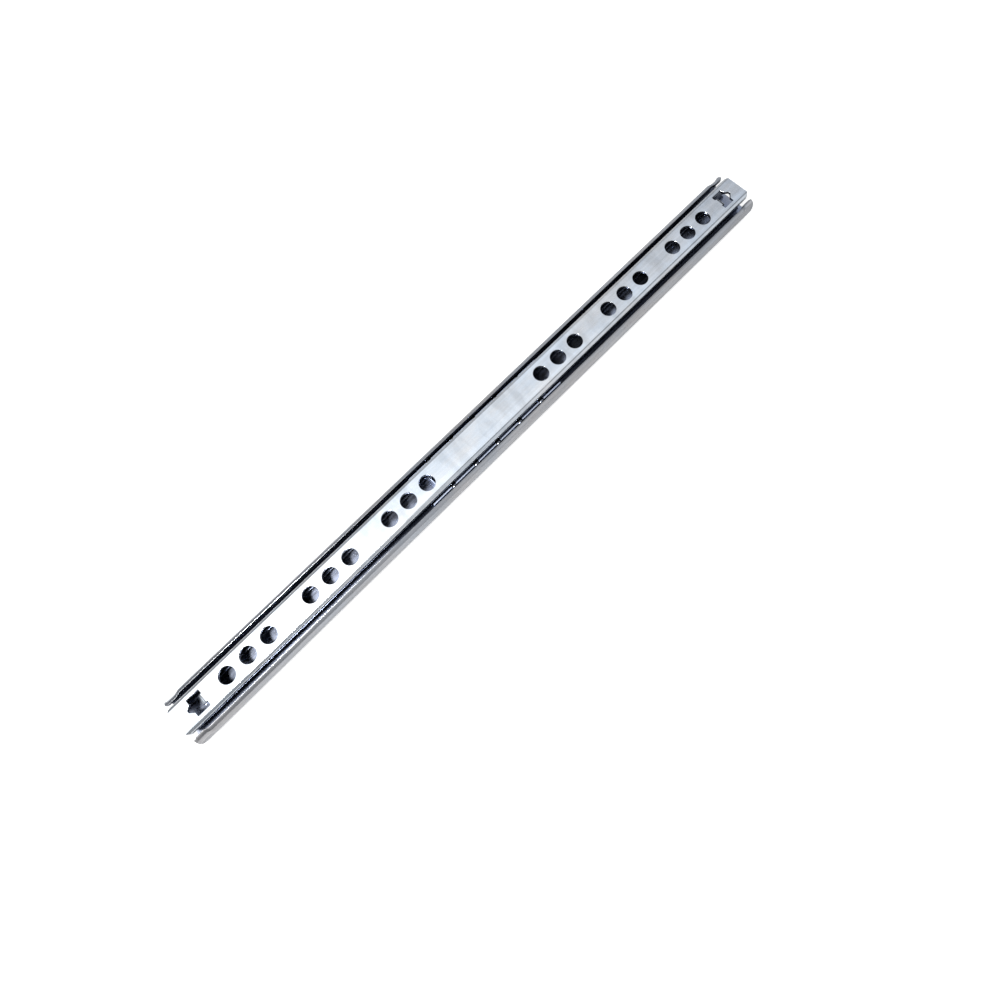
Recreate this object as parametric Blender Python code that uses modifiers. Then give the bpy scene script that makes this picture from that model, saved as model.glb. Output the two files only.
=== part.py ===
"""Two-member ball bearing drawer slide, 17 mm wide, 7.9 mm thick and 247.4 mm long.

X runs along the slide, Y across it and Z up from the mounting face of the outer rail.
"""
import bpy
import bmesh
import math
from mathutils import Matrix, Vector

MM = 0.001

# Outer rail: rolled C channel
SLIDE_LENGTH = 247.4
OUTER_WIDTH = 17.0
OUTER_HEIGHT = 6.3
RAIL_STEEL = 1.0
OUTER_WALL_RADIUS = 5.5
OUTER_CORNER_RADIUS = 1.5
LIP_INNER_Y = 6.6
CRIMP_START = 118.3
CRIMP_FULL = 120.4
CRIMP_END = 122.6
CRIMP_DEPTH = 0.5
CRIMP_LOW_Z = 1.2
CRIMP_FADE_Z = 2.0
SCREW_HOLE_DIAMETER = 4.3
COUNTERSINK_DIAMETER = 6.6
SCREW_HOLE_X = (51.5, 83.5)

# Inner rail: web on top, grooved flanges below
INNER_TOP_Z = 7.9
INNER_WIDTH = 10.2
INNER_BEND_RADIUS = 0.8
INNER_FLANGE_END = 123.4
TONGUE_CHAMFER = 0.9
FIXING_HOLE_DIAMETER = 5.2
FIXING_GROUP_X = (33.25, 65.25, 97.25)
FIXING_HOLE_PITCH = 7.9
WINDOW_INNER_X = 114.0
WINDOW_OUTER_X = 117.9
WINDOW_TIP_X = 119.3
WINDOW_WIDTH = 5.9
NOTCH_WIDTH = 3.0
NOTCH_TIP_WIDTH = 0.7
TAB_WIDTH = 3.0
RELIEF_DEPTH = 0.5
TAB_BEND_RADIUS = 0.75
TAB_BOTTOM_Z = 4.0
TAB_TIP_WIDTH = 0.9
TAB_ROOT = 0.6

# Ball train
BALL_DIAMETER = 3.5
BALL_Y = 5.65
BALL_Z = 3.15
BALL_PITCH = 9.85
BALL_RACE_RADIUS = 1.85

# Ball cage: pressed steel U with open topped ball pockets
CAGE_STEEL = 0.5
CAGE_LENGTH = 57.0
CAGE_BOTTOM_Z = 1.15
CAGE_TOP_Z = 4.95
CAGE_BEND_RADIUS = 0.75
CAGE_WEB_HALF = 23.7
CAGE_STOP_WIDTH = 4.2
CAGE_STOP_TOP_Z = 4.95
CAGE_STOP_ROOT = 2.6
CAGE_STOP_BEND_RADIUS = 0.5
POCKET_DIAMETER = 3.7
POCKET_MOUTH = 1.9
POCKET_DEPTH = 3.0

for old in list(bpy.data.objects):
    bpy.data.objects.remove(old, do_unlink=True)

slide_parts = bpy.data.collections.new("drawer_slide")
bpy.context.scene.collection.children.link(slide_parts)
cutters = bpy.data.collections.new("cutters")
bpy.context.scene.collection.children.link(cutters)


def make_material(name, color, metallic, roughness):
    """Return a Principled material whose viewport colour matches the shader."""
    material = bpy.data.materials.new(name)
    material.use_nodes = True
    shader = material.node_tree.nodes["Principled BSDF"]
    shader.inputs["Base Color"].default_value = (*color, 1.0)
    shader.inputs["Metallic"].default_value = metallic
    shader.inputs["Roughness"].default_value = roughness
    material.diffuse_color = (*color, 1.0)
    material.metallic = metallic
    material.roughness = roughness
    return material


def arc(center_y, center_z, radius, start, end, steps):
    """Points on an arc in the YZ section plane, angles in degrees from +Y."""
    points = []
    for i in range(steps + 1):
        angle = math.radians(start + (end - start) * i / steps)
        points.append((center_y + radius * math.cos(angle), center_z + radius * math.sin(angle)))
    return points


def add_object(name, mesh, collection):
    """Link a new object for a mesh into a collection."""
    obj = bpy.data.objects.new(name, mesh)
    collection.objects.link(obj)
    if collection is cutters:
        obj.hide_render = True
        obj.display_type = "WIRE"
    return obj


def swept_sheet(name, line, offsets, collection):
    """Open sheet: a line of points extruded from each offset to the next, all in millimetres."""
    bm = bmesh.new()
    points = [bm.verts.new((Vector(point) + Vector(offsets[0])) * MM) for point in line]
    edges = [bm.edges.new(pair) for pair in zip(points, points[1:])]
    for start, stop in zip(offsets, offsets[1:]):
        grown = bmesh.ops.extrude_edge_only(bm, edges=edges)["geom"]
        moved = [item for item in grown if isinstance(item, bmesh.types.BMVert)]
        edges = [item for item in grown if isinstance(item, bmesh.types.BMEdge)]
        edges = [edge for edge in edges if all(vert in moved for vert in edge.verts)]
        bmesh.ops.translate(bm, verts=moved, vec=(Vector(stop) - Vector(start)) * MM)
    bmesh.ops.recalc_face_normals(bm, faces=bm.faces[:])
    mesh = bpy.data.meshes.new(name)
    bm.to_mesh(mesh)
    bm.free()
    return add_object(name, mesh, collection)


def rolled_strip(name, section, stations):
    """Open sheet made by sweeping a YZ section line along X through the stations."""
    line = [(0.0, y, z) for y, z in section]
    return swept_sheet(name, line, [(x, 0.0, 0.0) for x in stations], slide_parts)


def prism(name, outline, low_z, high_z):
    """Closed cutter: an XY outline raised between two heights."""
    bm = bmesh.new()
    base = [bm.verts.new((x * MM, y * MM, low_z * MM)) for x, y in outline]
    face = bm.faces.new(base)
    raised = bmesh.ops.extrude_face_region(bm, geom=[face])
    moved = [v for v in raised["geom"] if isinstance(v, bmesh.types.BMVert)]
    bmesh.ops.translate(bm, verts=moved, vec=Vector((0.0, 0.0, (high_z - low_z) * MM)))
    bmesh.ops.recalc_face_normals(bm, faces=bm.faces[:])
    mesh = bpy.data.meshes.new(name)
    bm.to_mesh(mesh)
    bm.free()
    return add_object(name, mesh, cutters)


def cone_set(name, places, diameters, depth, segments, turn):
    """Closed cutter of several equal cones or cylinders, centred on the places."""
    low, high = diameters
    bm = bmesh.new()
    for place in places:
        matrix = Matrix.Translation(Vector(place) * MM) @ turn
        bmesh.ops.create_cone(bm, cap_ends=True, segments=segments, radius1=low / 2 * MM,
                              radius2=high / 2 * MM, depth=depth * MM, matrix=matrix)
    mesh = bpy.data.meshes.new(name)
    bm.to_mesh(mesh)
    bm.free()
    return add_object(name, mesh, cutters)


def box_set(name, boxes):
    """Closed cutter of several boxes given by low and high corners."""
    bm = bmesh.new()
    for low, high in boxes:
        size = [(b - a) * MM for a, b in zip(low, high)]
        center = [(b + a) / 2 * MM for a, b in zip(low, high)]
        matrix = Matrix.Translation(center) @ Matrix.Diagonal((*size, 1.0))
        bmesh.ops.create_cube(bm, size=1.0, matrix=matrix)
    mesh = bpy.data.meshes.new(name)
    bm.to_mesh(mesh)
    bm.free()
    return add_object(name, mesh, cutters)


def thicken(obj, thickness):
    """Give an open sheet its steel thickness, half to each side."""
    modifier = obj.modifiers.new("steel", "SOLIDIFY")
    modifier.thickness = thickness * MM
    modifier.offset = 0.0
    modifier.use_even_offset = True


def boolean(obj, other, operation):
    """Exact Boolean with another object."""
    modifier = obj.modifiers.new(other.name, "BOOLEAN")
    modifier.operation = operation
    modifier.solver = "EXACT"
    modifier.object = other


def bake(obj, merge):
    """Replace the mesh by its evaluated shape and weld stray vertices."""
    graph = bpy.context.evaluated_depsgraph_get()
    mesh = bpy.data.meshes.new_from_object(obj.evaluated_get(graph))
    obj.modifiers.clear()
    obj.data = mesh
    bm = bmesh.new()
    bm.from_mesh(mesh)
    bmesh.ops.remove_doubles(bm, verts=bm.verts[:], dist=merge * MM)
    bmesh.ops.dissolve_degenerate(bm, edges=bm.edges[:], dist=merge * MM)
    bmesh.ops.recalc_face_normals(bm, faces=bm.faces[:])
    bm.to_mesh(mesh)
    bm.free()
    mesh.name = obj.name


def finish(obj, material):
    """Assign the one material and smooth the bends while keeping the sheared edges sharp."""
    obj.data.materials.clear()
    obj.data.materials.append(material)
    for polygon in obj.data.polygons:
        polygon.material_index = 0
    obj.data.shade_smooth()
    obj.data.set_sharp_from_angle(angle=math.radians(34))


UPRIGHT = Matrix.Identity(4)
ACROSS = Matrix.Rotation(math.radians(90), 4, "X")

# Outer rail section line: base, corner, bowed wall, corner and lip, mirrored about the middle
wall_center_y = OUTER_WIDTH / 2 - RAIL_STEEL / 2 - OUTER_WALL_RADIUS
wall_center_z = OUTER_HEIGHT / 2
line_low_z = RAIL_STEEL / 2
line_high_z = OUTER_HEIGHT - RAIL_STEEL / 2
rise = wall_center_z - line_low_z - OUTER_CORNER_RADIUS
bow = math.degrees(math.asin(rise / (OUTER_WALL_RADIUS - OUTER_CORNER_RADIUS)))
corner_y = wall_center_y + (OUTER_WALL_RADIUS - OUTER_CORNER_RADIUS) * math.cos(math.radians(bow))
half = [(0.0, line_low_z)]
half += arc(corner_y, line_low_z + OUTER_CORNER_RADIUS, OUTER_CORNER_RADIUS, -90, -bow, 6)
half += arc(wall_center_y, wall_center_z, OUTER_WALL_RADIUS, -bow, bow, 6)[1:]
lip_angle = math.degrees(math.acos((LIP_INNER_Y - corner_y) / OUTER_CORNER_RADIUS))
half += arc(corner_y, line_high_z - OUTER_CORNER_RADIUS, OUTER_CORNER_RADIUS, bow, lip_angle, 6)[1:]
outer_section = [(-y, z) for y, z in reversed(half[1:])] + half

# Stations are closer together over the crimped ends that keep the cage in
half_length = SLIDE_LENGTH / 2
crimp_steps = [CRIMP_START, CRIMP_START + 0.7, CRIMP_START + 1.4, CRIMP_FULL, 121.5, CRIMP_END]
near_end = [-half_length] + [-x for x in reversed(crimp_steps)]
outer_stations = near_end + [-60.0, 0.0, 60.0] + [-x for x in reversed(near_end)]


def crimp_amount(x):
    """How far the walls are pressed in at a station, 0 to 1."""
    x = abs(x)
    if x <= CRIMP_START:
        return 0.0
    if x < CRIMP_FULL:
        t = (x - CRIMP_START) / (CRIMP_FULL - CRIMP_START)
    elif x <= CRIMP_END:
        t = 1.0
    else:
        t = max(0.0, 1.0 - (x - CRIMP_END) / (half_length - CRIMP_END) * 0.6)
    return t * t * (3.0 - 2.0 * t)


outer_rail = rolled_strip("outer_rail", outer_section, outer_stations)
for vertex in outer_rail.data.vertices:
    y = vertex.co.y / MM
    z = vertex.co.z / MM
    share = min(1.0, max(0.0, (z - CRIMP_LOW_Z) / CRIMP_FADE_Z))
    if abs(y) > corner_y - 0.5:
        vertex.co.y -= math.copysign(CRIMP_DEPTH * crimp_amount(vertex.co.x / MM) * share, y) * MM
thicken(outer_rail, RAIL_STEEL)
screw_places = [(side * x, 0.0, line_low_z) for x in SCREW_HOLE_X for side in (-1, 1)]
screw_size = (SCREW_HOLE_DIAMETER, SCREW_HOLE_DIAMETER)
screw_holes = cone_set("screw_holes", screw_places, screw_size, 4.0, 28, UPRIGHT)
sink_places = [(x, y, 0.8) for x, y, z in screw_places]
sink_size = (SCREW_HOLE_DIAMETER - 0.4, COUNTERSINK_DIAMETER + 0.4)
countersinks = cone_set("countersinks", sink_places, sink_size, 1.1, 28, UPRIGHT)
boolean(outer_rail, screw_holes, "DIFFERENCE")
boolean(outer_rail, countersinks, "DIFFERENCE")
bake(outer_rail, 0.01)
for vertex in outer_rail.data.vertices:
    if abs(vertex.co.x) > (half_length - 0.4) * MM:
        vertex.co.x = math.copysign(half_length * MM, vertex.co.x)

# Inner rail section line: web, bend, flank, and the groove that wraps the inside of the balls
web_z = INNER_TOP_Z - RAIL_STEEL / 2
flank_y = INNER_WIDTH / 2 - RAIL_STEEL / 2
race = BALL_RACE_RADIUS + RAIL_STEEL / 2
groove_top = 45.0
groove_low = -26.0
join_y = BALL_Y - race * math.cos(math.radians(groove_top))
join_z = BALL_Z + race * math.sin(math.radians(groove_top))
ease = (flank_y - join_y) / (1.0 - math.cos(math.radians(groove_top)))
ease_z = join_z + ease * math.sin(math.radians(groove_top))
half = [(0.0, web_z)]
half += arc(flank_y - INNER_BEND_RADIUS, web_z - INNER_BEND_RADIUS, INNER_BEND_RADIUS, 90, 0, 7)
half += arc(flank_y - ease, ease_z, ease, 0, -groove_top, 5)
half += arc(BALL_Y, BALL_Z, race, 180 - groove_top, 180 - groove_low, 8)[1:]
inner_section = [(-y, z) for y, z in reversed(half[1:])] + half
inner_rail = rolled_strip("inner_rail", inner_section, [-half_length, -60.0, 0.0, 60.0, half_length])
thicken(inner_rail, RAIL_STEEL)

# Flanges stop short of the web ends, and the end corners are chamfered through their full height
trims = []
for side in (-1, 1):
    near_x, far_x = sorted((side * INNER_FLANGE_END, side * (half_length + 2)))
    trims.append(((near_x, -8, 0), (far_x, 8, INNER_TOP_Z - RAIL_STEEL - 0.05)))
flange_trim = box_set("flange_trim", trims)
boolean(inner_rail, flange_trim, "DIFFERENCE")
corner = INNER_WIDTH / 2
for side in (-1, 1):
    for hand in (-1, 1):
        outline = [
            (side * (half_length - TONGUE_CHAMFER), hand * (corner + 0.02)),
            (side * (half_length + 1), hand * (corner - TONGUE_CHAMFER - 1)),
            (side * (half_length + 1), hand * (corner + 1)),
            (side * (half_length - TONGUE_CHAMFER), hand * (corner + 1)),
        ]
        chamfer = prism("tongue_chamfer", outline, 0.0, INNER_TOP_Z + 1)
        boolean(inner_rail, chamfer, "DIFFERENCE")

# Eighteen fixing holes in six groups of three
fixing_places = []
for group in FIXING_GROUP_X:
    for step in (-1, 0, 1):
        for side in (-1, 1):
            fixing_places.append((side * (group + step * FIXING_HOLE_PITCH), 0.0, web_z))
fixing_size = (FIXING_HOLE_DIAMETER, FIXING_HOLE_DIAMETER)
fixing_holes = cone_set("fixing_holes", fixing_places, fixing_size, 3.0, 40, UPRIGHT)
boolean(inner_rail, fixing_holes, "DIFFERENCE")

# Lanced stop tab at each end: the window it leaves and the tab folded down from its inner edge
for side in (-1, 1):
    wide = WINDOW_WIDTH / 2
    outline = [
        (side * WINDOW_OUTER_X, -wide),
        (side * WINDOW_OUTER_X, -NOTCH_WIDTH / 2),
        (side * WINDOW_TIP_X, -NOTCH_TIP_WIDTH / 2),
        (side * WINDOW_TIP_X, NOTCH_TIP_WIDTH / 2),
        (side * WINDOW_OUTER_X, NOTCH_WIDTH / 2),
        (side * WINDOW_OUTER_X, wide),
        (side * (WINDOW_INNER_X - RELIEF_DEPTH), wide),
        (side * (WINDOW_INNER_X - RELIEF_DEPTH), TAB_WIDTH / 2),
        (side * WINDOW_INNER_X, TAB_WIDTH / 2),
        (side * WINDOW_INNER_X, -TAB_WIDTH / 2),
        (side * (WINDOW_INNER_X - RELIEF_DEPTH), -TAB_WIDTH / 2),
        (side * (WINDOW_INNER_X - RELIEF_DEPTH), -wide),
    ]
    window = prism("tab_window", outline, INNER_TOP_Z - 3, INNER_TOP_Z + 1)
    boolean(inner_rail, window, "DIFFERENCE")
bake(inner_rail, 0.01)
tab_bend_x = WINDOW_INNER_X - 0.05
tab_line = [(WINDOW_INNER_X - TAB_ROOT, web_z), (tab_bend_x, web_z)]
tab_line += arc(tab_bend_x, web_z - TAB_BEND_RADIUS, TAB_BEND_RADIUS, 90, 0, 6)[1:]
tab_x = tab_line[-1][0]
tab_line += [(tab_x, TAB_BOTTOM_Z + 1.5), (tab_x, TAB_BOTTOM_Z)]
for side in (-1, 1):
    line = [(side * x, 0.0, z) for x, z in tab_line]
    tab = swept_sheet("stop_tab", line, [(0.0, -TAB_WIDTH / 2, 0.0), (0.0, TAB_WIDTH / 2, 0.0)], cutters)
    for vertex in tab.data.vertices:
        if vertex.co.z < (TAB_BOTTOM_Z + 0.01) * MM:
            vertex.co.y *= TAB_TIP_WIDTH / TAB_WIDTH
    thicken(tab, RAIL_STEEL - 0.04)
    boolean(inner_rail, tab, "UNION")
bake(inner_rail, 0.01)

# Ball cage: U strip, web shortened, end stops folded up, keyhole pockets open at the top edge
cage_line_z = CAGE_BOTTOM_Z + CAGE_STEEL / 2
half = [(0.0, cage_line_z)]
half += arc(BALL_Y - CAGE_BEND_RADIUS, cage_line_z + CAGE_BEND_RADIUS, CAGE_BEND_RADIUS, -90, 0, 6)
half += [(BALL_Y, CAGE_TOP_Z)]
cage_section = [(-y, z) for y, z in reversed(half[1:])] + half
ball_cage = rolled_strip("ball_cage", cage_section, [-CAGE_LENGTH / 2, 0.0, CAGE_LENGTH / 2])
thicken(ball_cage, CAGE_STEEL)
web_cuts = []
for side in (-1, 1):
    near_x, far_x = sorted((side * CAGE_WEB_HALF, side * (CAGE_LENGTH / 2 + 1)))
    web_cuts.append(((near_x, -4.6, 0.5), (far_x, 4.6, 3.0)))
web_trim = box_set("web_trim", web_cuts)
boolean(ball_cage, web_trim, "DIFFERENCE")
ball_x = [BALL_PITCH * step for step in (-2, -1, 0, 1, 2)]
pocket_places = [(x, hand * BALL_Y, BALL_Z) for x in ball_x for hand in (-1, 1)]
pocket_size = (POCKET_DIAMETER, POCKET_DIAMETER)
pockets = cone_set("pockets", pocket_places, pocket_size, POCKET_DEPTH, 32, ACROSS)
boolean(ball_cage, pockets, "DIFFERENCE")
mouth_boxes = []
for x in ball_x:
    low_corner = (x - POCKET_MOUTH / 2, -OUTER_WIDTH / 2, BALL_Z + 1.0)
    high_corner = (x + POCKET_MOUTH / 2, OUTER_WIDTH / 2, CAGE_TOP_Z + 1.0)
    mouth_boxes.append((low_corner, high_corner))
mouths = box_set("mouths", mouth_boxes)
boolean(ball_cage, mouths, "DIFFERENCE")
bake(ball_cage, 0.005)
fold_x = CAGE_WEB_HALF - CAGE_STEEL / 2
fold_bend_x = fold_x - CAGE_STOP_BEND_RADIUS
fold_line = [(CAGE_WEB_HALF - CAGE_STOP_ROOT, cage_line_z), (fold_bend_x, cage_line_z)]
fold_line += arc(fold_bend_x, cage_line_z + CAGE_STOP_BEND_RADIUS, CAGE_STOP_BEND_RADIUS, -90, 0, 5)[1:]
fold_line += [(fold_x, CAGE_STOP_TOP_Z)]
for side in (-1, 1):
    line = [(side * x, 0.0, z) for x, z in fold_line]
    edges_y = [(0.0, -CAGE_STOP_WIDTH / 2, 0.0), (0.0, CAGE_STOP_WIDTH / 2, 0.0)]
    fold = swept_sheet("cage_stop", line, edges_y, cutters)
    thicken(fold, CAGE_STEEL - 0.02)
    boolean(ball_cage, fold, "UNION")
bake(ball_cage, 0.005)

# Ten loose balls, five to a side
ball_mesh = bpy.data.meshes.new("steel_ball")
bm = bmesh.new()
bmesh.ops.create_uvsphere(bm, u_segments=24, v_segments=14, radius=BALL_DIAMETER / 2 * MM)
bm.to_mesh(ball_mesh)
bm.free()
ball_mesh.shade_smooth()
ball_steel = make_material("ball_steel", (0.80, 0.81, 0.83), 1.0, 0.10)
ball_mesh.materials.append(ball_steel)
for hand, label in ((1, "left"), (-1, "right")):
    for i, x in enumerate(ball_x):
        ball = add_object(f"ball_{label}_{i + 1}", ball_mesh, slide_parts)
        ball.location = (x * MM, hand * BALL_Y * MM, BALL_Z * MM)

finish(outer_rail, make_material("outer_zinc", (0.60, 0.61, 0.64), 1.0, 0.30))
finish(inner_rail, make_material("inner_zinc", (0.74, 0.76, 0.80), 1.0, 0.26))
finish(ball_cage, make_material("cage_zinc", (0.66, 0.68, 0.70), 1.0, 0.34))
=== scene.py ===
"""Looks of a ball bearing drawer slide: zinc-plated rails, ball cage and balls on a pale floor.

Lengths are in millimetres and MM turns them into Blender's metres. X runs along the slide,
Y across it and Z up from the mounting face of the outer rail. Every piece here is a finer copy
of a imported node: same section and holes, with smooth bends and eased edges.
"""
import math

import bmesh
import bpy
from mathutils import Matrix, Vector


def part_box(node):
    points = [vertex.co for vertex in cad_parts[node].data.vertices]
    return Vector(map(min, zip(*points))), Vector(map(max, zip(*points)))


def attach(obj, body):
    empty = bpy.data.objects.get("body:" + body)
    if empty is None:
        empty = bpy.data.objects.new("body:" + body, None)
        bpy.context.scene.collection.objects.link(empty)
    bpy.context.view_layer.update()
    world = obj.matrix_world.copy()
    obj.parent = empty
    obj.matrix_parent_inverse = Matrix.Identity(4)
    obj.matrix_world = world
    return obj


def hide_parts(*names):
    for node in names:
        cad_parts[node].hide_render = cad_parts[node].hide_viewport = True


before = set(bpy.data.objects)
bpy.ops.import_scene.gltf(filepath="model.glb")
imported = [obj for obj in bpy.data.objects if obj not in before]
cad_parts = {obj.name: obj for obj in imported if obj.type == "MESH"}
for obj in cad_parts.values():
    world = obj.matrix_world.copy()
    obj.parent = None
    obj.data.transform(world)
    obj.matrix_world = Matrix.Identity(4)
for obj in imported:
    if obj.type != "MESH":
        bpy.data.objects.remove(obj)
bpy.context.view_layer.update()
MM = 0.001


def box_mm(node):
    """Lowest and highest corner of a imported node, in millimetres."""
    low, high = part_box(node)
    return low / MM, high / MM


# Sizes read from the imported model
outer_high = box_mm("outer_rail")[1]
inner_high = box_mm("inner_rail")[1]
cage_low, cage_high = box_mm("ball_cage")
ball_low, ball_high = box_mm("ball_left_3")
HALF_LENGTH = outer_high.x
OUTER_HALF_WIDTH = outer_high.y
OUTER_HEIGHT = outer_high.z
INNER_HALF_WIDTH = inner_high.y
INNER_TOP = inner_high.z
CAGE_HALF_LENGTH = cage_high.x
CAGE_LOW = cage_low.z
CAGE_TOP = cage_high.z
BALL_RADIUS = (ball_high.z - ball_low.z) / 2
BALL_Y = (ball_high.y + ball_low.y) / 2
BALL_Z = (ball_high.z + ball_low.z) / 2
BALL_PITCH = box_mm("ball_left_4")[0].x - ball_low.x

# Steel and bends
RAIL_STEEL = 1.0
OUTER_WALL_RADIUS = 5.5
OUTER_CORNER_RADIUS = 1.5
LIP_INNER_Y = 6.6
CRIMP_START = 118.3
CRIMP_FULL = 120.4
CRIMP_END = 122.6
CRIMP_DEPTH = 0.5
CRIMP_SPRING_BACK = 0.6
CRIMP_LOW_Z = 1.2
CRIMP_RISE = 2.0
CRIMP_INNER_Y = 5.0
INNER_BEND_RADIUS = 0.8
INNER_FLANGE_END = 123.4
TONGUE_CHAMFER = 0.9
BALL_RACE_RADIUS = 1.85
CAGE_STEEL = 0.5
CAGE_BEND_RADIUS = 0.75
EDGE_ROUNDING = 0.10
EASED_EDGE_ANGLE = 38
SHARP_SHADING_ANGLE = 50
CUTTER_REACH = 8.0
WEB_CLEARANCE = 0.05

# Holes, windows and tabs
FIXING_HOLE_RADIUS = 2.6
FIXING_GROUP_X = (33.25, 65.25, 97.25)
FIXING_HOLE_PITCH = 7.9
SCREW_HOLE_RADIUS = 2.15
COUNTERSINK_RADIUS = 3.3
SCREW_HOLE_X = (51.5, 83.5)
WINDOW_INNER_X = 114.0
WINDOW_OUTER_X = 117.9
WINDOW_TIP_X = 119.3
WINDOW_WIDTH = 5.9
NOTCH_WIDTH = 3.0
NOTCH_TIP_WIDTH = 0.7
TAB_WIDTH = 3.0
TAB_TIP_WIDTH = 0.9
TAB_BEND_RADIUS = 0.75
TAB_BOTTOM_Z = 4.0
TAB_ROOT = 0.6
RELIEF_DEPTH = 0.5
CAGE_WEB_HALF = 23.7
CAGE_TRIM_HALF_WIDTH = 4.6
CAGE_TRIM_LOW_Z = 0.5
CAGE_TRIM_HIGH_Z = 3.0
CAGE_STOP_WIDTH = 4.2
CAGE_STOP_TOP_Z = 4.95
CAGE_STOP_ROOT = 2.6
CAGE_STOP_BEND_RADIUS = 0.5
POCKET_RADIUS = 1.85
POCKET_MOUTH = 1.9
POCKET_DEPTH = 3.0

# View
CAMERA_PLACE = (-45.4, -59.2, 195.0)
CAMERA_ANGLES = (15.18, 1.93, -45.48)
CAMERA_LENS = 23.0
CAMERA_SHIFT = (0.0017, -0.0021)

# Light
KEY_PLACE = (-150.0, -20.0, 357.0)
KEY_RADIUS = 25.0
KEY_POWER = 7.5
DOME_AXIS = (-0.35, 0.0, 0.937)
DOME_STOPS = (
    (0.0, (0.03, 0.035, 0.05)),
    (0.15, (0.05, 0.055, 0.075)),
    (0.33, (0.30, 0.32, 0.37)),
    (0.50, (0.79, 0.83, 0.89)),
    (0.83, (1.10, 1.13, 1.17)),
    (0.96, (1.9, 1.9, 1.9)),
)
BAND_AXIS = (0.0, 0.956, -0.29)
BAND_TINT = (1.0, 1.0, 1.0)
BAND_STOPS = ((0.0, 0.12), (0.22, 0.06), (0.35, 0.05), (0.44, 1.0), (0.58, 1.0), (0.70, 0.20), (1.0, 0.20))
FILL_TINT = (0.97, 0.98, 1.0)
FILL_STOPS = ((0.0, 0.95), (0.12, 0.85), (0.25, 0.45), (0.36, 0.03), (0.64, 0.03), (0.74, 0.60), (1.0, 0.80))
FLOOR_GREY = 0.50
FLOOR_GLOW = 0.75
FLOOR_SIZE = 4.0
FLOOR_DROP = 0.02
BACKDROP_GREY = 0.95


# ---------------------------------------------------------------- mesh tools
def arc(center_y, center_z, radius, start, end, steps):
    """Points on an arc in the YZ plane, angles in degrees from +Y."""
    points = []
    for i in range(steps + 1):
        angle = math.radians(start + (end - start) * i / steps)
        points.append((center_y + radius * math.cos(angle), center_z + radius * math.sin(angle)))
    return points


def offset_line(line, distance):
    """An open line moved sideways by a distance, mitred at its corners."""
    result = []
    for i, point in enumerate(line):
        before = Vector(line[max(i - 1, 0)])
        after = Vector(line[min(i + 1, len(line) - 1)])
        here = Vector(point)
        first = (here - before) if i > 0 else (after - here)
        second = (after - here) if i < len(line) - 1 else (here - before)
        normal_1 = Vector((-first.y, first.x)).normalized()
        normal_2 = Vector((-second.y, second.x)).normalized()
        normal = (normal_1 + normal_2).normalized()
        result.append(here + normal * (distance / max(0.2, normal.dot(normal_1))))
    return result


def strip_outline(line, thickness):
    """Closed outline of steel of that thickness whose middle follows an open line."""
    one = offset_line(line, thickness / 2)
    other = offset_line(line, -thickness / 2)
    return one + list(reversed(other))


def new_piece(name, bm):
    """Link the bmesh as a new object with outward faces."""
    bmesh.ops.recalc_face_normals(bm, faces=bm.faces[:])
    mesh = bpy.data.meshes.new(name)
    bm.to_mesh(mesh)
    bm.free()
    piece = bpy.data.objects.new(name, mesh)
    bpy.context.scene.collection.objects.link(piece)
    return piece


def sweep(name, outline, frames):
    """Solid swept through frames: functions that take a section point to a place, in millimetres."""
    bm = bmesh.new()
    rings = [[bm.verts.new(Vector(place(y, z)) * MM) for y, z in outline] for place in frames]
    count = len(outline)
    for near, far in zip(rings, rings[1:]):
        for i in range(count):
            bm.faces.new((near[i], near[(i + 1) % count], far[(i + 1) % count], far[i]))
    bm.faces.new(rings[0])
    bm.faces.new(rings[-1])
    return new_piece(name, bm)


def along_x(stations, warp=None):
    """Frames for a sweep along X, with an optional change of (x, y, z) at each station."""
    frames = []
    for x in stations:
        if warp is None:
            frames.append(lambda y, z, x=x: (x, y, z))
        else:
            frames.append(lambda y, z, x=x: warp(x, y, z))
    return frames


def prism(name, outline, low_z, high_z):
    """Closed cutter: an XY outline between two heights."""
    frames = [lambda x, y, h=h: (x, y, h) for h in (low_z, high_z)]
    return sweep(name, outline, frames)


def lathe_cutter(name, places, profile, steps, axis="Z"):
    """Closed cutter: a profile of (radius, height) turned about each place."""
    bm = bmesh.new()
    turn = Matrix.Rotation(math.radians(90), 4, "X") if axis == "Y" else Matrix.Identity(4)
    for place in places:
        rings = []
        for radius, height in profile:
            ring = []
            for i in range(steps):
                angle = 2 * math.pi * (i + 0.5) / steps
                local = Vector((radius * math.cos(angle), radius * math.sin(angle), height))
                ring.append(bm.verts.new((turn @ local + Vector(place)) * MM))
            rings.append(ring)
        for near, far in zip(rings, rings[1:]):
            for i in range(steps):
                bm.faces.new((near[i], near[(i + 1) % steps], far[(i + 1) % steps], far[i]))
        bm.faces.new(rings[0])
        bm.faces.new(rings[-1])
    return new_piece(name, bm)


def box_cutter(name, boxes):
    """Closed cutter of boxes given by low and high corners."""
    bm = bmesh.new()
    for low, high in boxes:
        size = [(b - a) * MM for a, b in zip(low, high)]
        center = [(b + a) / 2 * MM for a, b in zip(low, high)]
        matrix = Matrix.Translation(center) @ Matrix.Diagonal((*size, 1.0))
        bmesh.ops.create_cube(bm, size=1.0, matrix=matrix)
    return new_piece(name, bm)


def combine(piece, other, operation):
    """Exact Boolean, applied at once; the other object is used up."""
    modifier = piece.modifiers.new("cut", "BOOLEAN")
    modifier.operation = operation
    modifier.solver = "EXACT"
    modifier.object = other
    apply_modifiers(piece)
    bpy.data.objects.remove(other, do_unlink=True)


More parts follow.
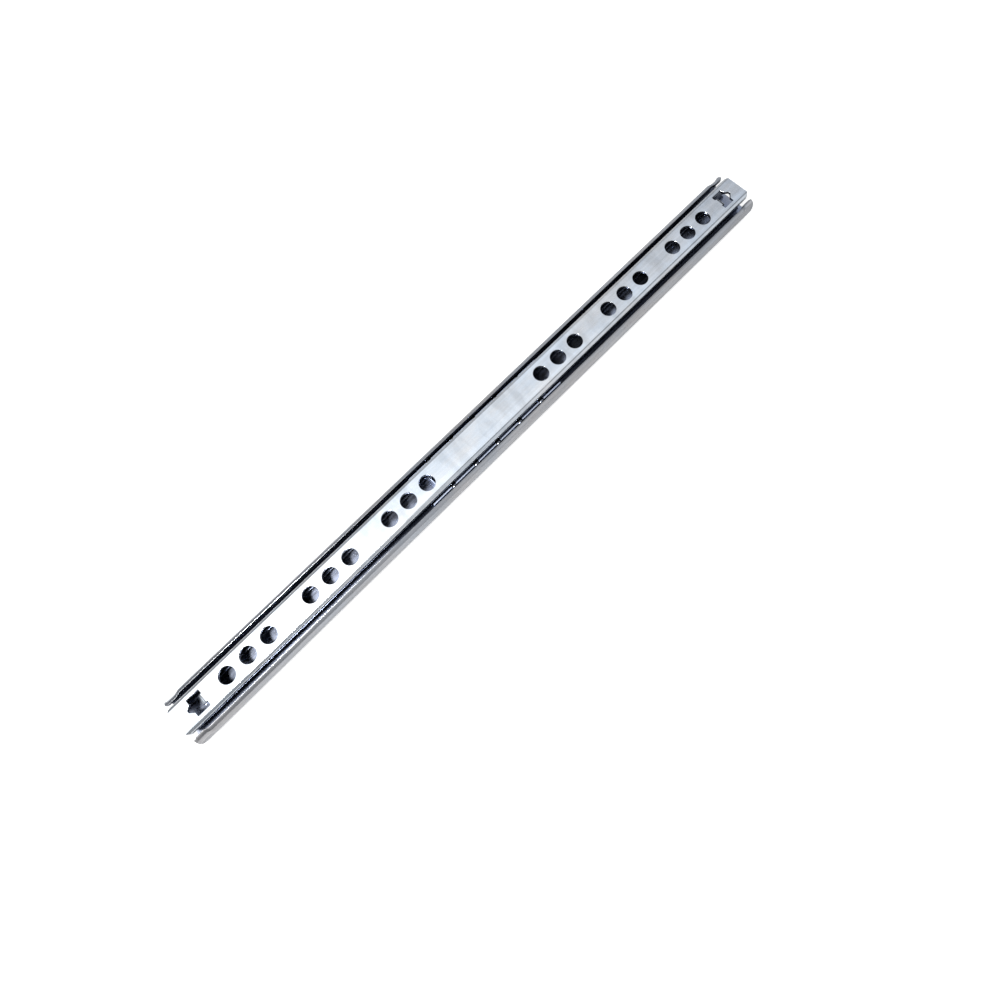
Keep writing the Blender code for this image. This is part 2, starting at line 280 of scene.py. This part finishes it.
def apply_modifiers(piece):
    """Replace the mesh by its evaluated shape."""
    bpy.context.view_layer.update()
    graph = bpy.context.evaluated_depsgraph_get()
    mesh = bpy.data.meshes.new_from_object(piece.evaluated_get(graph))
    piece.modifiers.clear()
    piece.data = mesh


def clean(piece, merge=0.004):
    """Weld stray vertices left by the Booleans."""
    bm = bmesh.new()
    bm.from_mesh(piece.data)
    bmesh.ops.remove_doubles(bm, verts=bm.verts[:], dist=merge * MM)
    bmesh.ops.dissolve_degenerate(bm, edges=bm.edges[:], dist=merge * MM)
    bmesh.ops.dissolve_limit(bm, angle_limit=math.radians(0.3), verts=bm.verts[:], edges=bm.edges[:])
    bmesh.ops.recalc_face_normals(bm, faces=bm.faces[:])
    bm.to_mesh(piece.data)
    bm.free()


def ease_edges(piece, width, segments=2):
    """Round every sheared edge and keep the flats flat in the shading."""
    bevel = piece.modifiers.new("eased", "BEVEL")
    bevel.width = width * MM
    bevel.segments = segments
    bevel.limit_method = "ANGLE"
    bevel.angle_limit = math.radians(EASED_EDGE_ANGLE)
    bevel.use_clamp_overlap = False
    bevel.miter_outer = "MITER_ARC"
    apply_modifiers(piece)
    piece.data.shade_smooth()
    piece.data.set_sharp_from_angle(angle=math.radians(SHARP_SHADING_ANGLE))
    piece.modifiers.new("flats", "WEIGHTED_NORMAL").keep_sharp = True
    apply_modifiers(piece)


# ---------------------------------------------------------------- outer rail
def crimp_amount(x):
    """How far the walls are pressed in at a station, 0 to 1."""
    x = abs(x)
    if x <= CRIMP_START:
        return 0.0
    if x < CRIMP_FULL:
        t = (x - CRIMP_START) / (CRIMP_FULL - CRIMP_START)
    elif x <= CRIMP_END:
        t = 1.0
    else:
        t = max(0.0, 1.0 - (x - CRIMP_END) / (HALF_LENGTH - CRIMP_END) * CRIMP_SPRING_BACK)
    return t * t * (3.0 - 2.0 * t)


def crimped(x, y, z):
    """Place of an outer rail point after its wall end is pressed in."""
    share = min(1.0, max(0.0, (z - CRIMP_LOW_Z) / CRIMP_RISE))
    if abs(y) > CRIMP_INNER_Y:
        y -= math.copysign(CRIMP_DEPTH * crimp_amount(x) * share, y)
    return (x, y, z)


def build_outer_rail():
    """Rolled channel with bowed walls, crimped ends and countersunk screw holes."""
    wall_y = OUTER_HALF_WIDTH - RAIL_STEEL / 2 - OUTER_WALL_RADIUS
    wall_z = OUTER_HEIGHT / 2
    low_z = RAIL_STEEL / 2
    high_z = OUTER_HEIGHT - RAIL_STEEL / 2
    rise = wall_z - low_z - OUTER_CORNER_RADIUS
    bow = math.degrees(math.asin(rise / (OUTER_WALL_RADIUS - OUTER_CORNER_RADIUS)))
    corner_y = wall_y + (OUTER_WALL_RADIUS - OUTER_CORNER_RADIUS) * math.cos(math.radians(bow))
    lip_angle = math.degrees(math.acos((LIP_INNER_Y - corner_y) / OUTER_CORNER_RADIUS))
    half = [(0.0, low_z)]
    half += arc(corner_y, low_z + OUTER_CORNER_RADIUS, OUTER_CORNER_RADIUS, -90, -bow, 12)
    half += arc(wall_y, wall_z, OUTER_WALL_RADIUS, -bow, bow, 14)[1:]
    half += arc(corner_y, high_z - OUTER_CORNER_RADIUS, OUTER_CORNER_RADIUS, bow, lip_angle, 14)[1:]
    line = [(-y, z) for y, z in reversed(half[1:])] + half
    ends = [CRIMP_START + (CRIMP_FULL - CRIMP_START) * i / 6 for i in range(7)]
    ends += [121.5, CRIMP_END] + [CRIMP_END + (HALF_LENGTH - CRIMP_END) * i / 4 for i in range(1, 5)]
    stations = [-x for x in reversed(ends)] + [-60.0, 0.0, 60.0] + ends
    rail = sweep("outer_rail_fine", strip_outline(line, RAIL_STEEL), along_x(stations, crimped))
    places = [(side * x, 0.0, 0.0) for x in SCREW_HOLE_X for side in (-1, 1)]
    sink_depth = COUNTERSINK_RADIUS - SCREW_HOLE_RADIUS
    profile = [
        (SCREW_HOLE_RADIUS, -1.0),
        (SCREW_HOLE_RADIUS, RAIL_STEEL - sink_depth * 0.7),
        (COUNTERSINK_RADIUS, RAIL_STEEL),
        (COUNTERSINK_RADIUS + 0.5, RAIL_STEEL + 0.5),
    ]
    combine(rail, lathe_cutter("screw_cut", places, profile, 64), "DIFFERENCE")
    clean(rail)
    ease_edges(rail, EDGE_ROUNDING)
    return rail


# ---------------------------------------------------------------- inner rail
def window_outline(side):
    """Outline of the window that the lanced tab leaves, at one end of the rail."""
    wide = WINDOW_WIDTH / 2
    half = [
        (WINDOW_TIP_X, NOTCH_TIP_WIDTH / 2),
        (WINDOW_OUTER_X, NOTCH_WIDTH / 2),
        (WINDOW_OUTER_X, wide),
        (WINDOW_INNER_X - RELIEF_DEPTH, wide),
        (WINDOW_INNER_X - RELIEF_DEPTH, TAB_WIDTH / 2),
        (WINDOW_INNER_X, TAB_WIDTH / 2),
    ]
    both = half + [(x, -y) for x, y in reversed(half)]
    return [(side * x, y) for x, y in both]


def folded_tab(name, line, width, tip_width, thickness, side):
    """Tab of sheet steel: a line in the XZ plane, as wide as the tab, narrowing over its last stretch."""
    outline = strip_outline(line, thickness)
    tip = min(z for x, z in line) if tip_width else None
    bm = bmesh.new()
    rings = []
    for hand in (-1, 1):
        ring = []
        for x, z in outline:
            half = width / 2
            if tip is not None and z < tip + 0.01:
                half = tip_width / 2
            ring.append(bm.verts.new(Vector((side * x, hand * half, z)) * MM))
        rings.append(ring)
    count = len(outline)
    for i in range(count):
        j = (i + 1) % count
        bm.faces.new((rings[0][i], rings[0][j], rings[1][j], rings[1][i]))
    bm.faces.new(rings[0])
    bm.faces.new(rings[1])
    return new_piece(name, bm)


def build_inner_rail():
    """Web with its holes and windows, flanges grooved for the balls, tabs folded down."""
    web_z = INNER_TOP - RAIL_STEEL / 2
    flank_y = INNER_HALF_WIDTH - RAIL_STEEL / 2
    race = BALL_RACE_RADIUS + RAIL_STEEL / 2
    turn = 45.0
    join_y = BALL_Y - race * math.cos(math.radians(turn))
    join_z = BALL_Z + race * math.sin(math.radians(turn))
    ease = (flank_y - join_y) / (1.0 - math.cos(math.radians(turn)))
    ease_z = join_z + ease * math.sin(math.radians(turn))
    half = [(0.0, web_z)]
    half += arc(flank_y - INNER_BEND_RADIUS, web_z - INNER_BEND_RADIUS, INNER_BEND_RADIUS, 90, 0, 14)
    half += arc(flank_y - ease, ease_z, ease, 0, -turn, 10)
    half += arc(BALL_Y, BALL_Z, race, 180 - turn, 206, 16)[1:]
    line = [(-y, z) for y, z in reversed(half[1:])] + half
    stations = [-HALF_LENGTH, -60.0, 0.0, 60.0, HALF_LENGTH]
    rail = sweep("inner_rail_fine", strip_outline(line, RAIL_STEEL), along_x(stations))
    trim_top = INNER_TOP - RAIL_STEEL - WEB_CLEARANCE
    trims = []
    for side in (-1, 1):
        near_x, far_x = sorted((side * INNER_FLANGE_END, side * (HALF_LENGTH + 2)))
        trims.append(((near_x, -CUTTER_REACH, 0), (far_x, CUTTER_REACH, trim_top)))
    combine(rail, box_cutter("flange_trim", trims), "DIFFERENCE")
    for side in (-1, 1):
        for hand in (-1, 1):
            corner = [
                (side * (HALF_LENGTH - TONGUE_CHAMFER), hand * (INNER_HALF_WIDTH + 0.02)),
                (side * (HALF_LENGTH + 1), hand * (INNER_HALF_WIDTH - TONGUE_CHAMFER - 1)),
                (side * (HALF_LENGTH + 1), hand * (INNER_HALF_WIDTH + 1)),
                (side * (HALF_LENGTH - TONGUE_CHAMFER), hand * (INNER_HALF_WIDTH + 1)),
            ]
            combine(rail, prism("tongue_cut", corner, 0.0, INNER_TOP + 1), "DIFFERENCE")
    places = []
    for group in FIXING_GROUP_X:
        for step in (-1, 0, 1):
            for side in (-1, 1):
                places.append((side * (group + step * FIXING_HOLE_PITCH), 0.0, web_z))
    profile = [(FIXING_HOLE_RADIUS, -1.5), (FIXING_HOLE_RADIUS, 1.5)]
    combine(rail, lathe_cutter("fixing_cut", places, profile, 72), "DIFFERENCE")
    for side in (-1, 1):
        window = prism("window_cut", window_outline(side), INNER_TOP - 3, INNER_TOP + 1)
        combine(rail, window, "DIFFERENCE")
    clean(rail)
    bend_x = WINDOW_INNER_X - 0.05
    line = [(WINDOW_INNER_X - TAB_ROOT, web_z), (bend_x, web_z)]
    line += arc(bend_x, web_z - TAB_BEND_RADIUS, TAB_BEND_RADIUS, 90, 0, 12)[1:]
    line += [(line[-1][0], TAB_BOTTOM_Z + 1.5), (line[-1][0], TAB_BOTTOM_Z)]
    for side in (-1, 1):
        tab = folded_tab("tab", line, TAB_WIDTH, TAB_TIP_WIDTH, RAIL_STEEL - 0.02, side)
        combine(rail, tab, "UNION")
    clean(rail)
    ease_edges(rail, EDGE_ROUNDING)
    return rail


# ---------------------------------------------------------------- cage and balls
def build_cage():
    """Pressed U strip with keyhole pockets and folded end stops."""
    line_z = CAGE_LOW + CAGE_STEEL / 2
    half = [(0.0, line_z)]
    half += arc(BALL_Y - CAGE_BEND_RADIUS, line_z + CAGE_BEND_RADIUS, CAGE_BEND_RADIUS, -90, 0, 12)
    half += [(BALL_Y, CAGE_TOP)]
    line = [(-y, z) for y, z in reversed(half[1:])] + half
    stations = [-CAGE_HALF_LENGTH, 0.0, CAGE_HALF_LENGTH]
    cage = sweep("ball_cage_fine", strip_outline(line, CAGE_STEEL), along_x(stations))
    cuts = []
    for side in (-1, 1):
        near_x, far_x = sorted((side * CAGE_WEB_HALF, side * (CAGE_HALF_LENGTH + 1)))
        low = (near_x, -CAGE_TRIM_HALF_WIDTH, CAGE_TRIM_LOW_Z)
        cuts.append((low, (far_x, CAGE_TRIM_HALF_WIDTH, CAGE_TRIM_HIGH_Z)))
    combine(cage, box_cutter("web_trim", cuts), "DIFFERENCE")
    ball_x = [BALL_PITCH * step for step in (-2, -1, 0, 1, 2)]
    profile = [(POCKET_RADIUS, -POCKET_DEPTH / 2), (POCKET_RADIUS, POCKET_DEPTH / 2)]
    places = [(x, hand * BALL_Y, BALL_Z) for x in ball_x for hand in (-1, 1)]
    combine(cage, lathe_cutter("pocket_cut", places, profile, 48, "Y"), "DIFFERENCE")
    mouths = []
    for x in ball_x:
        low = (x - POCKET_MOUTH / 2, -CUTTER_REACH, BALL_Z + 1.0)
        mouths.append((low, (x + POCKET_MOUTH / 2, CUTTER_REACH, CAGE_TOP + 1.0)))
    combine(cage, box_cutter("mouth_cut", mouths), "DIFFERENCE")
    clean(cage, 0.002)
    fold_x = CAGE_WEB_HALF - CAGE_STEEL / 2
    bend_x = fold_x - CAGE_STOP_BEND_RADIUS
    fold = [(CAGE_WEB_HALF - CAGE_STOP_ROOT, line_z), (bend_x, line_z)]
    fold += arc(bend_x, line_z + CAGE_STOP_BEND_RADIUS, CAGE_STOP_BEND_RADIUS, -90, 0, 10)[1:]
    fold += [(fold_x, CAGE_STOP_TOP_Z)]
    for side in (-1, 1):
        stop = folded_tab("stop", fold, CAGE_STOP_WIDTH, None, CAGE_STEEL - 0.02, side)
        combine(cage, stop, "UNION")
    clean(cage, 0.002)
    ease_edges(cage, EDGE_ROUNDING / 2)
    return cage


def build_balls(material):
    """A smooth ball in place of each packed one."""
    bm = bmesh.new()
    bmesh.ops.create_icosphere(bm, subdivisions=4, radius=BALL_RADIUS * MM)
    mesh = bpy.data.meshes.new("ball_fine")
    bm.to_mesh(mesh)
    bm.free()
    mesh.shade_smooth()
    mesh.materials.append(material)
    for name in sorted(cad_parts):
        if not name.startswith("ball_") or name == "ball_cage":
            continue
        low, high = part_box(name)
        ball = bpy.data.objects.new(name + "_fine", mesh)
        ball.location = (low + high) / 2
        bpy.context.scene.collection.objects.link(ball)
        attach(ball, name)
        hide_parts(name)


# ---------------------------------------------------------------- materials
def add_node(tree, kind, inputs=None, **settings):
    """New shader node with its settings, and its inputs by name or number."""
    node = tree.nodes.new(kind)
    for key, value in settings.items():
        setattr(node, key, value)
    for key, value in (inputs or {}).items():
        if isinstance(value, bpy.types.NodeSocket):
            tree.links.new(value, node.inputs[key])
        else:
            node.inputs[key].default_value = value
    return node


def noise(tree, place, stretch, scale, detail=3.0, roughness=0.55):
    """Noise over the piece's own coordinates, stretched along each axis; returns its 0 to 1 value."""
    mapped = add_node(tree, "ShaderNodeMapping", {"Vector": place, "Scale": stretch})
    field = add_node(tree, "ShaderNodeTexNoise", {
        "Vector": mapped.outputs[0], "Scale": scale, "Detail": detail, "Roughness": roughness})
    return field.outputs["Fac"]


def spread(tree, value, low, high, to_low, to_high):
    """Map a value from one range to another, clamped."""
    node = add_node(tree, "ShaderNodeMapRange", {
        "Value": value, "From Min": low, "From Max": high, "To Min": to_low, "To Max": to_high})
    return node.outputs[0]


def zinc(name, tint, roughness, cloud=0.10, marks=0.10, hollow_shade=0.12, base_floor_shade=None, stains_and_sheen=0.0):
    """Bright zinc plate: faint clouding, long rolling marks, fine scratches, painted shade in the hollows.
    """
    material = bpy.data.materials.new(name)
    material.use_nodes = True
    tree = material.node_tree
    shader = tree.nodes["Principled BSDF"]
    place = add_node(tree, "ShaderNodeTexCoord").outputs["Object"]
    clouds = noise(tree, place, (1.0, 1.6, 1.6), 90.0, 4.0)
    streaks = noise(tree, place, (14.0, 900.0, 900.0), 1.0, 5.0, 0.65)
    scratches = noise(tree, place, (60.0, 5200.0, 5200.0), 1.0, 2.0)
    smears = noise(tree, place, (1.0, 2.6, 2.6), 38.0, 5.0, 0.7)
    grain = noise(tree, place, (1.0, 1.0, 1.0), 2600.0, 2.0)

    # Colour: plate tint between a cooler and a warmer patch, then streaks, then painted shade in the hollows
    warm = tuple(c * k for c, k in zip(tint, (1.0, 0.99, 0.975)))
    cool = tuple(c * k for c, k in zip(tint, (0.92, 0.975, 1.03)))
    patches = add_node(tree, "ShaderNodeMix", {
        "Factor": spread(tree, smears, 0.40, 0.62, 0.0, 1.0), 6: (*cool, 1.0), 7: (*warm, 1.0)},
        data_type="RGBA")
    shade = spread(tree, clouds, 0.30, 0.70, 1.0 - cloud, 1.0)
    lines = spread(tree, streaks, 0.30, 0.70, 1.0 - marks, 1.0)
    both = add_node(tree, "ShaderNodeMath", {0: shade, 1: lines}, operation="MULTIPLY").outputs[0]
    # Stains and painted sheen: random blots darken the plate. The strip on the -Y side of the piece, beyond
    # y = -2.6 mm, is kept lighter than the rest as a painted sheen.
    if stains_and_sheen:
        blots = noise(tree, place, (1.0, 0.35, 0.35), 230.0, 3.0, 0.6)
        width = add_node(tree, "ShaderNodeSeparateXYZ", {0: place}).outputs["Y"]
        edge_sheen = spread(tree, width, -2.6 * MM, -1.8 * MM, 1.0, 1.0 - stains_and_sheen * 0.7)
        blots_and_sheen = add_node(tree, "ShaderNodeMath", {
            0: spread(tree, blots, 0.45, 0.65, 1.0, 1.0 - stains_and_sheen), 1: edge_sheen}, operation="MULTIPLY").outputs[0]
        both = add_node(tree, "ShaderNodeMath", {0: both, 1: blots_and_sheen}, operation="MULTIPLY").outputs[0]
    plate = add_node(tree, "ShaderNodeVectorMath", {0: patches.outputs[2], "Scale": both}, operation="SCALE")
    # Painted shade: where the ambient-occlusion test finds a hollow, the base colour is darkened and tinted
    # bluish. Below 1.1 mm, on the rail's base, the painted shade has a level of its own.
    open_sky = add_node(tree, "ShaderNodeAmbientOcclusion", {"Distance": 0.008}, samples=6).outputs["AO"]
    unshaded_share = spread(tree, open_sky, 0.40, 0.80, 0.0, 1.0)
    height = add_node(tree, "ShaderNodeSeparateXYZ", {0: place}).outputs["Z"]
    low_shade_level = hollow_shade if base_floor_shade is None else base_floor_shade
    shade_level = spread(tree, height, 1.1 * MM, 1.4 * MM, low_shade_level, hollow_shade)
    hollow_tint = tuple(c * k for c, k in zip(tint, (0.80, 0.90, 1.15)))
    hollow_color = add_node(tree, "ShaderNodeVectorMath", {0: hollow_tint, "Scale": shade_level}, operation="SCALE")
    color = add_node(tree, "ShaderNodeMix", {
        "Factor": unshaded_share, 6: hollow_color.outputs[0], 7: plate.outputs[0]}, data_type="RGBA")
    tree.links.new(color.outputs[2], shader.inputs["Base Color"])
    shader.inputs["Metallic"].default_value = 1.0

    # Sheen: smeared and streaked roughness
    dull = add_node(tree, "ShaderNodeMath", {
        0: spread(tree, smears, 0.35, 0.65, -0.05, 0.06), 1: spread(tree, streaks, 0.3, 0.7, 0.04, -0.04)},
        operation="ADD").outputs[0]
    rough = add_node(tree, "ShaderNodeMath", {0: dull, 1: roughness}, operation="ADD", use_clamp=True)
    tree.links.new(rough.outputs[0], shader.inputs["Roughness"])

    # Relief: rolling scratches along the strip and a fine crystalline grain
    relief = add_node(tree, "ShaderNodeMath", {0: scratches, 1: grain}, operation="ADD").outputs[0]
    bump = add_node(tree, "ShaderNodeBump", {"Height": relief, "Strength": 0.12, "Distance": 0.00004})
    wavy = add_node(tree, "ShaderNodeBump", {
        "Height": smears, "Strength": 0.25, "Distance": 0.00012, "Normal": bump.outputs[0]})
    tree.links.new(wavy.outputs[0], shader.inputs["Normal"])
    return material


def dress(piece, node, body, material):
    """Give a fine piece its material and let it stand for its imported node."""
    piece.data.materials.clear()
    piece.data.materials.append(material)
    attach(piece, body)
    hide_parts(node)


# Each call also sets how dark the painted shade in the piece's hollows is.
outer_zinc = zinc("outer_zinc_look", (0.62, 0.62, 0.64), 0.24, marks=0.32, hollow_shade=0.20, base_floor_shade=0.5)
# The inner rail's stains value also sets the painted sheen along its -Y side.
inner_zinc = zinc("inner_zinc_look", (0.86, 0.88, 0.91), 0.22, cloud=0.12, stains_and_sheen=0.13)
cage_zinc = zinc("cage_zinc_look", (0.80, 0.81, 0.82), 0.28, hollow_shade=0.9)
ball_steel = zinc("ball_steel_look", (0.80, 0.81, 0.83), 0.10, cloud=0.03, marks=0.02)

dress(build_outer_rail(), "outer_rail", "outer", outer_zinc)
dress(build_inner_rail(), "inner_rail", "inner", inner_zinc)
dress(build_cage(), "ball_cage", "cage", cage_zinc)
build_balls(ball_steel)


# ---------------------------------------------------------------- floor, light and camera
def build_floor():
    """Pale floor, wide enough to fill every reflection near the slide."""
    bm = bmesh.new()
    bmesh.ops.create_grid(bm, x_segments=1, y_segments=1, size=FLOOR_SIZE)
    floor = new_piece("studio_floor", bm)
    floor.location.z = -FLOOR_DROP * MM
    material = bpy.data.materials.new("floor_look")
    material.use_nodes = True
    shader = material.node_tree.nodes["Principled BSDF"]
    shader.inputs["Base Color"].default_value = (FLOOR_GREY, FLOOR_GREY, FLOOR_GREY, 1.0)
    shader.inputs["Roughness"].default_value = 0.8
    shader.inputs["Specular IOR Level"].default_value = 0.1
    shader.inputs["Emission Color"].default_value = (1.0, 1.0, 1.0, 1.0)
    path = material.node_tree.nodes.new("ShaderNodeLightPath")
    glow = add_node(material.node_tree, "ShaderNodeMath", {
        0: path.outputs["Is Camera Ray"], 1: FLOOR_GLOW}, operation="MULTIPLY")
    material.node_tree.links.new(glow.outputs[0], shader.inputs["Emission Strength"])
    floor.data.materials.append(material)


def facing(tree, direction, axis):
    """How far a direction points along a fixed axis, -1 to 1."""
    node = add_node(tree, "ShaderNodeVectorMath", {
        0: direction, 1: Vector(axis).normalized()}, operation="DOT_PRODUCT")
    return node.outputs["Value"]


def tinted(stops, tint):
    """Colour stops from (position, level) pairs and one tint."""
    return [(place, [level * channel for channel in tint]) for place, level in stops]


def eased_ramp(tree, value, stops):
    """Smooth colour ramp over a value, from (position, colour) stops; returns its colour."""
    ramp = add_node(tree, "ShaderNodeValToRGB", {"Fac": value})
    ramp.color_ramp.interpolation = "EASE"
    elements = ramp.color_ramp.elements
    while len(elements) < len(stops):
        elements.new(1.0)
    for element, (place, color) in zip(elements, stops):
        element.position = place
        element.color = (*color, 1.0)
    return ramp.outputs["Color"]


def build_world():
    """Dome of light, brightest above the near end: a soft band along the slide and a fill from the sides."""
    world = bpy.data.worlds.new("studio_dome")
    bpy.context.scene.world = world
    world.use_nodes = True
    tree = world.node_tree
    tree.nodes.clear()
    direction = add_node(tree, "ShaderNodeTexCoord").outputs["Generated"]
    dome = eased_ramp(tree, facing(tree, direction, DOME_AXIS), DOME_STOPS)
    across = spread(tree, facing(tree, direction, BAND_AXIS), -1.0, 1.0, 0.0, 1.0)
    band = eased_ramp(tree, across, tinted(BAND_STOPS, BAND_TINT))
    sides = eased_ramp(tree, across, tinted(FILL_STOPS, FILL_TINT))
    along = add_node(tree, "ShaderNodeSeparateXYZ", {0: direction}).outputs["X"]
    far_share = spread(tree, along, -0.35, 0.5, 0.22, 1.0)
    fill = add_node(tree, "ShaderNodeVectorMath", {0: sides, "Scale": far_share}, operation="SCALE")
    banded = add_node(tree, "ShaderNodeVectorMath", {0: dome, 1: band}, operation="MULTIPLY")
    total = add_node(tree, "ShaderNodeVectorMath", {
        0: banded.outputs[0], 1: fill.outputs[0]}, operation="ADD")
    lamp = add_node(tree, "ShaderNodeBackground", {"Color": total.outputs[0]})
    grey = (BACKDROP_GREY, BACKDROP_GREY, BACKDROP_GREY, 1.0)
    backdrop = add_node(tree, "ShaderNodeBackground", {"Color": grey})
    camera_ray = add_node(tree, "ShaderNodeLightPath").outputs["Is Camera Ray"]
    mix = add_node(tree, "ShaderNodeMixShader", {
        "Fac": camera_ray, 1: lamp.outputs[0], 2: backdrop.outputs[0]})
    add_node(tree, "ShaderNodeOutputWorld", {"Surface": mix.outputs[0]})


def build_key_light():
    """Small soft lamp above the near end, which lights the rail's base through the nearest holes."""
    data = bpy.data.lights.new("key_light", "POINT")
    data.energy = KEY_POWER
    data.shadow_soft_size = KEY_RADIUS * MM
    lamp = bpy.data.objects.new("key_light", data)
    lamp.location = Vector(KEY_PLACE) * MM
    bpy.context.scene.collection.objects.link(lamp)


def build_camera():
    """Camera where the reference view stands: above the near half, looking down along the slide."""
    data = bpy.data.cameras.new("view_camera")
    data.lens = CAMERA_LENS
    data.sensor_width = 36.0
    data.shift_x, data.shift_y = CAMERA_SHIFT
    data.clip_start = 0.005
    camera = bpy.data.objects.new("view_camera", data)
    camera.location = Vector(CAMERA_PLACE) * MM
    camera.rotation_euler = [math.radians(angle) for angle in CAMERA_ANGLES]
    bpy.context.scene.collection.objects.link(camera)
    bpy.context.scene.camera = camera


build_floor()
build_world()
build_key_light()
build_camera()
bpy.context.scene.view_settings.view_transform = "Standard"
